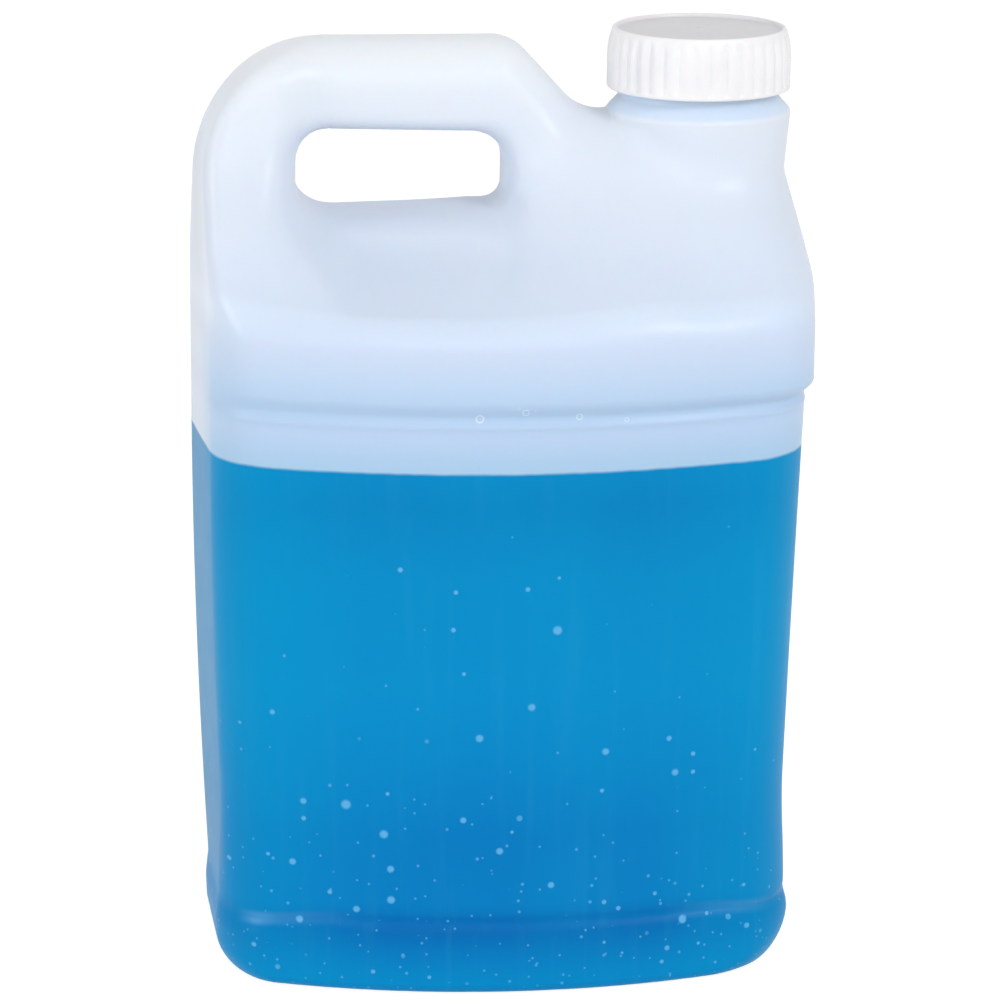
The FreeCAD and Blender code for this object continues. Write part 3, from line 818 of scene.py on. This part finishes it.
# bubbles that cling inside the front wall: across, height and radius
bubbles = [
    (13, 137, 1.6), (-61.6, 71.2, 1.7), (-48.2, 60.5, 1.5), (4.1, 108.6, 1.3), (-14.4, 97.3, 1.35),
    (31, 90.7, 1.25), (56.8, 80.7, 1.25), (54.3, 93.8, 0.95), (63.4, 87.1, 0.85), (63.5, 80.2, 0.8),
    (2.3, 152.5, 0.85), (-23.1, 151.6, 0.8), (13.4, 156.4, 0.6), (-42.6, 159.6, 0.9), (-23.9, 137.7, 0.85),
    (-20.1, 121.4, 0.7), (-87.5, 104.2, 0.9), (-98.9, 98.1, 0.55), (-76.7, 71.5, 1.1), (-76.6, 64.9, 0.85),
    (-46.9, 75.9, 0.7), (29.9, 76, 0.75), (-20, 66.4, 1.1), (-6.9, 54.5, 1.25), (-80.6, 48, 1.2),
    (-89.3, 50.1, 0.7), (-103, 44.1, 0.8), (-45.8, 47.3, 1.25), (-45.6, 35.5, 1.4), (-67.4, 37.4, 0.85),
    (-57.9, 31.4, 1.2), (-78.2, 26.1, 1.25), (11.8, 41, 1.15), (31.3, 33.3, 0.85), (36.6, 30.5, 0.85),
    (50.1, 35, 0.75), (60.5, 24.3, 1.4), (69.8, 25.2, 0.65), (83.9, 34, 0.65), (85.1, 18.8, 1),
    (54.8, 14.2, 0.95), (52.9, 9.1, 0.75), (-94.6, 15, 0.85), (-32, 6.9, 0.7), (-52.1, 8.4, 0.8),
    (66.6, 14.6, 0.6), (-2.5, 61.7, 0.6), (38, 14, 0.5), (31.3, 18.6, 0.6), (87.1, 85.5, 0.5),
]


# distance to the nearest of some spots, 1 at its edge
def nearest(m, flat, spots):
    near = None
    for across, up, radius in spots:
        away = m.distance(flat, (across, 0, up)) * (1 / radius)
        near = away if near is None else near.lesser(away)
    return near


# small bubbles all round, more of them low down
def tinySpots(m, at):
    few = m.ramp(m.split(at)[2], fewerHigher)
    tiny = None
    for cell, radius, most in tinyBubbles:
        spots = m.node("TexVoronoi", {}, {"Vector": at, "Scale": 1 / cell})
        chance = m.split(spots.also("Color"))[0]
        edge = [share * radius / cell for share in plastic["tinyEdge"]]
        dot = m.fall(spots, *edge) * m.soft(few * most - chance, -0.01, 0.01)
        tiny = dot if tiny is None else tiny.greater(dot)
    return tiny


# the light along the foot's crease, on the front and the back
def creaseLight(m, y, atFoot):
    f = plastic
    return m.soft(atFoot, *f["creaseLow"]) * m.fall(atFoot, *f["creaseHigh"]) * m.soft(y.size(), *f["creaseFront"])


# the plastic's colour where the liquid stands behind it, with its painted light and shade
def blueColour(m, at, atFoot, endWall):
    f = plastic
    x, y, z = m.split(at)
    edge = shade(f["blueEdge"])
    blue = m.ramp(atFoot, f["blue"])
    blue = m.mix(m.soft(x.size(), *f["edgeAlong"]) * f["edgeMix"], blue, edge)
    cloud = m.noise(m.places((1, 1, 0.6)), f["cloudSize"])
    blue = m.mix(m.soft(cloud, *f["cloudRange"]) * f["cloudMix"], blue, edge)
    # a painted pale reflection on the handle's end wall, with upright lines in it
    lines = m.noise(m.places((1, 1, 0.01)), f["endWallLine"]) * f["endWallLines"] + f["endWallBlueMix"]
    blue = m.mix(endWall * lines * m.soft(z, *f["endWallUp"]), blue, shade(f["endWallReflectionBlue"]))
    large = m.fall(nearest(m, m.joined(x, 0.0, z), bubbles), *f["bubbleEdge"]) * m.fall(y, *f["frontFace"])
    spots = (tinySpots(m, at) * f["tinyMix"]).greater(large)
    blue = m.mix(spots * f["bubbleMix"], blue, shade(f["paleBubbleAndHighlight"]))
    # a painted highlight caught in the crease at the handle's end
    creaseHighlight = creaseLight(m, y, atFoot) * m.fall(x, *f["creaseEnd"])
    blue = m.mix(creaseHighlight * f["creaseHighlightMix"], blue, shade(f["paleBubbleAndHighlight"]))
    streak = m.noise(m.places((0.35, 0.35, 0.02)), f["streakSize"], 3.0)
    return m.mix(m.soft(streak, *f["streakRange"]) * f["streakMix"], blue, shade(f["streak"]))


# and where there is only air behind it, with painted light and shade too
def airColour(m, at, endWall, ring):
    f = plastic
    x, y, z = m.split(at)
    # the handle's end wall over the air: a painted pale reflection low down, painted shade higher up
    endWallPainted = m.mix(m.soft(z, *f["endWallHighUp"]), shade(f["endWallReflectionAir"]), shade(f["endWallShadeHigh"]))
    air = m.mix(endWall * f["endWallMix"], m.ramp(z, f["air"]), endWallPainted)
    # painted shade on the chamfer and ring just under the cap
    neck = m.fall(m.fromNeck(x, y), *f["neckOut"]) * m.soft(z, *f["neckUp"])
    air = m.mix(neck, air, shade(f["neckPaintedShade"]))
    return m.mix(ring * f["dropMix"], air, shade(f["drop"]))


def paintJug():
    f = plastic
    m = newPaint("jugPlastic", IOR=1.5, Specular_IOR_Level=0.04, Subsurface_Weight=0.2, Subsurface_Scale=0.004,
                 Sheen_Weight=0.1, Sheen_Roughness=0.35, Coat_Roughness=0.3)
    at = m.places()
    x, y, z = m.split(at)
    wobble = (m.noise(at, f["fillWave"]) - 0.5) * (2 * f["fillWobble"])
    above = m.soft(z + wobble, fillHeight - f["fillSoft"], fillHeight + f["fillSoft"])
    atFoot = z + m.soft(x.size(), *jug["creaseAlong"]) * jug["creaseFall"]
    # the handle's end wall leans in below the band
    draft = math.tan(math.radians(jug["draftHandle"]))
    endWall = m.fall(x + jugHigh[0] + (z - jug["panelTop"]).lesser(0.0) * draft, *f["endWallIn"])
    near = nearest(m, m.joined(x, 0.0, z), drops)
    ring = m.soft(near, *f["dropInner"]) * m.fall(near, *f["dropOuter"]) * m.fall(y, *f["frontFace"])
    m.put("Base Color", m.mix(above, blueColour(m, at, atFoot, endWall), airColour(m, at, endWall, ring)))
    crease = creaseLight(m, y, atFoot) * m.soft(x.size(), *f["creaseAlong"])
    leg = m.fall(x, *f["legEnd"]) * m.soft(z, *f["legLow"]) * m.fall(z, *f["legHigh"])
    coat = f["coatBlue"] + above * (f["coatAir"] - f["coatBlue"])
    m.put("Coat Weight", coat + crease * f["coatCrease"] + leg * f["coatLeg"])
    m.put("Roughness", f["rough"] + m.noise(at, f["roughSize"], 3.0) * f["roughMore"])
    height = m.noise(at, f["grainSize"], 3.0) * f["grain"] + m.noise(at, f["swellSize"]) * f["swell"]
    height += m.fall(y.size(), *f["partingWidth"]) * f["parting"] + ring * f["dropEdge"]
    m.bumps(height, f["bump"], f["bumpDepth"])
    return m.block


# the side with its cloudy patches, and the panel on top painted greyer, as painted shade on the top, which takes less
# light
capPaint = {"side": (239, 238, 239), "patch": (230, 230, 234), "patchSize": 11.0, "patchRange": (0.35, 0.75),
            "patchMix": 0.5, "panel": (212, 211, 215), "panelDown": (-3.5, -2.5), "panelOut": (29.3, 30.7),
            "rough": 0.3, "roughMore": 0.14, "roughSize": 4.0, "grainSize": 0.8, "bump": 0.1, "bumpDepth": 0.0003}


def paintCap():
    f = capPaint
    m = newPaint("capPlastic", IOR=1.5, Specular_IOR_Level=0.4, Subsurface_Weight=0.1, Subsurface_Scale=0.002)
    at = m.places()
    x, y, z = m.split(at)
    patch = m.soft(m.noise(at, f["patchSize"], 3.0), *f["patchRange"]) * f["patchMix"]
    side = m.mix(patch, shade(f["side"]), shade(f["patch"]))
    # painted shade: the top panel is painted greyer than the side
    panel = m.soft(z - capHigh[2], *f["panelDown"]) * m.fall(m.fromNeck(x, y), *f["panelOut"])
    m.put("Base Color", m.mix(panel, side, shade(f["panel"])))
    m.put("Roughness", f["rough"] + m.noise(at, f["roughSize"], 3.0) * f["roughMore"])
    m.bumps(m.noise(at, f["grainSize"], 3.0), f["bump"], f["bumpDepth"])
    return m.block


linerPaint = {"cell": (226, 226, 222), "foam": (240, 240, 237), "cellSize": 0.5, "cellRange": (0.1, 0.7),
              "bump": 0.4, "bumpDepth": 0.0002}


def paintLiner():
    f = linerPaint
    m = newPaint("linerFoam", Roughness=0.8, Specular_IOR_Level=0.2)
    cells = m.node("TexVoronoi", {}, {"Vector": m.places(), "Scale": 1 / f["cellSize"]})
    m.put("Base Color", m.mix(m.soft(cells, *f["cellRange"]), shade(f["cell"]), shade(f["foam"])))
    m.bumps(cells, f["bump"], f["bumpDepth"])
    return m.block


liquidPaint = {"deep": (0, 118, 186), "light": (0, 138, 202), "cloud": 45.0, "cloudRange": (0.3, 0.7),
               "ripple": 26.0, "bump": 0.15, "bumpDepth": 0.001}


def paintLiquid():
    f = liquidPaint
    m = newPaint("blueLiquid", Roughness=0.06, IOR=1.34, Specular_IOR_Level=0.5)
    at = m.places()
    cloud = m.soft(m.noise(at, f["cloud"]), *f["cloudRange"])
    m.put("Base Color", m.mix(cloud, shade(f["deep"]), shade(f["light"])))
    m.bumps(m.noise(at, f["ripple"], 1.0), f["bump"], f["bumpDepth"])
    return m.block


def dress(piece, material):
    piece.data.materials.clear()
    piece.data.materials.append(material)


dress(shell, paintJug())
dress(capPiece, paintCap())
dress(liquidPiece, paintLiquid())
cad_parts["cap_liner"].material_slots[0].material = paintLiner()
print("materials made")

# the camera, in metres and degrees
view = {"place": (-0.1378, -1.544, 0.5852), "target": (-0.002, 0, 0.175), "roll": 0.42, "lens": 155.9,
        "sensor": 36, "shiftX": 0.0048, "shiftY": -0.0349, "farthest": 20}


def makeCamera():
    data = bpy.data.cameras.new("camera")
    camera = bpy.data.objects.new("camera", data)
    bpy.context.scene.collection.objects.link(camera)
    look = (Vector(view["target"]) - Vector(view["place"])).to_track_quat("-Z", "Y").to_matrix().to_4x4()
    roll = Matrix.Rotation(math.radians(view["roll"]), 4, "Z")
    camera.matrix_world = Matrix.Translation(view["place"]) @ look @ roll
    data.lens, data.sensor_width, data.clip_end = view["lens"], view["sensor"], view["farthest"]
    data.shift_x, data.shift_y = view["shiftX"], view["shiftY"]
    bpy.context.scene.camera = camera


makeCamera()

# each lamp: its turn round the jug from the front and its height in degrees, its distance,
# width and height in metres, and its power; all of them aim at the jug's middle
lamps = {"key": (38, 34, 1.8, 0.5, 0.5, 8.7), "side": (-72, 14, 1.6, 0.5, 1.1, 5.4),
         "front": (-8, 30, 2.2, 1.4, 1.0, 8)}
studio = {"aim": 0.17, "world": 0.58, "floor": 6, "floorDown": 0.0003, "floorShade": 0.92,
          "shadow": 0.3, "white": 1.28}


def addLamp(name, turn, up, distance, width, height, power):
    a, e = math.radians(turn), math.radians(up)
    out = distance * math.cos(e)
    place = Vector((out * math.sin(a), -out * math.cos(a), studio["aim"] + distance * math.sin(e)))
    data = bpy.data.lights.new(name, "AREA")
    data.shape, data.size, data.size_y, data.energy = "RECTANGLE", width, height, power
    lamp = bpy.data.objects.new(name, data)
    bpy.context.scene.collection.objects.link(lamp)
    lamp.location = place
    lamp.rotation_euler = (Vector((0, 0, studio["aim"])) - place).to_track_quat("-Z", "Y").to_euler()


# white surroundings that light the object more dimly than they look
def makeWorld():
    world = bpy.data.worlds.new("studio")
    bpy.context.scene.world = world
    m = Paint(world, "Background", Color=(1, 1, 1, 1))
    m.put("Strength", studio["world"] + m.seen() * (1 - studio["world"]))


# a white floor that still takes the object's shadow
def makeFloor():
    deselect()
    bpy.ops.mesh.primitive_circle_add(vertices=96, radius=studio["floor"], fill_type="NGON",
                                      location=(0, 0, -studio["floorDown"]))
    floor = bpy.context.object
    floor.name = "floor"
    m = newPaint("floorWhite", Roughness=0.9, Specular_IOR_Level=0.0, Base_Color=(*[studio["floorShade"]] * 3, 1))
    glow = m.node("Emission", {}, {"Color": (1, 1, 1, 1), "Strength": studio["white"]})
    both = m.node("MixShader", {}, {0: m.seen() * (1 - studio["shadow"]), 1: Wire(m, m.shader.outputs[0]), 2: glow})
    m.link(m.tree.nodes["Material Output"].inputs[0], both)
    dress(floor, m.block)


for name, sizes in lamps.items():
    addLamp(name, *sizes)
makeWorld()
makeFloor()
bpy.context.scene.view_settings.view_transform = "Standard"
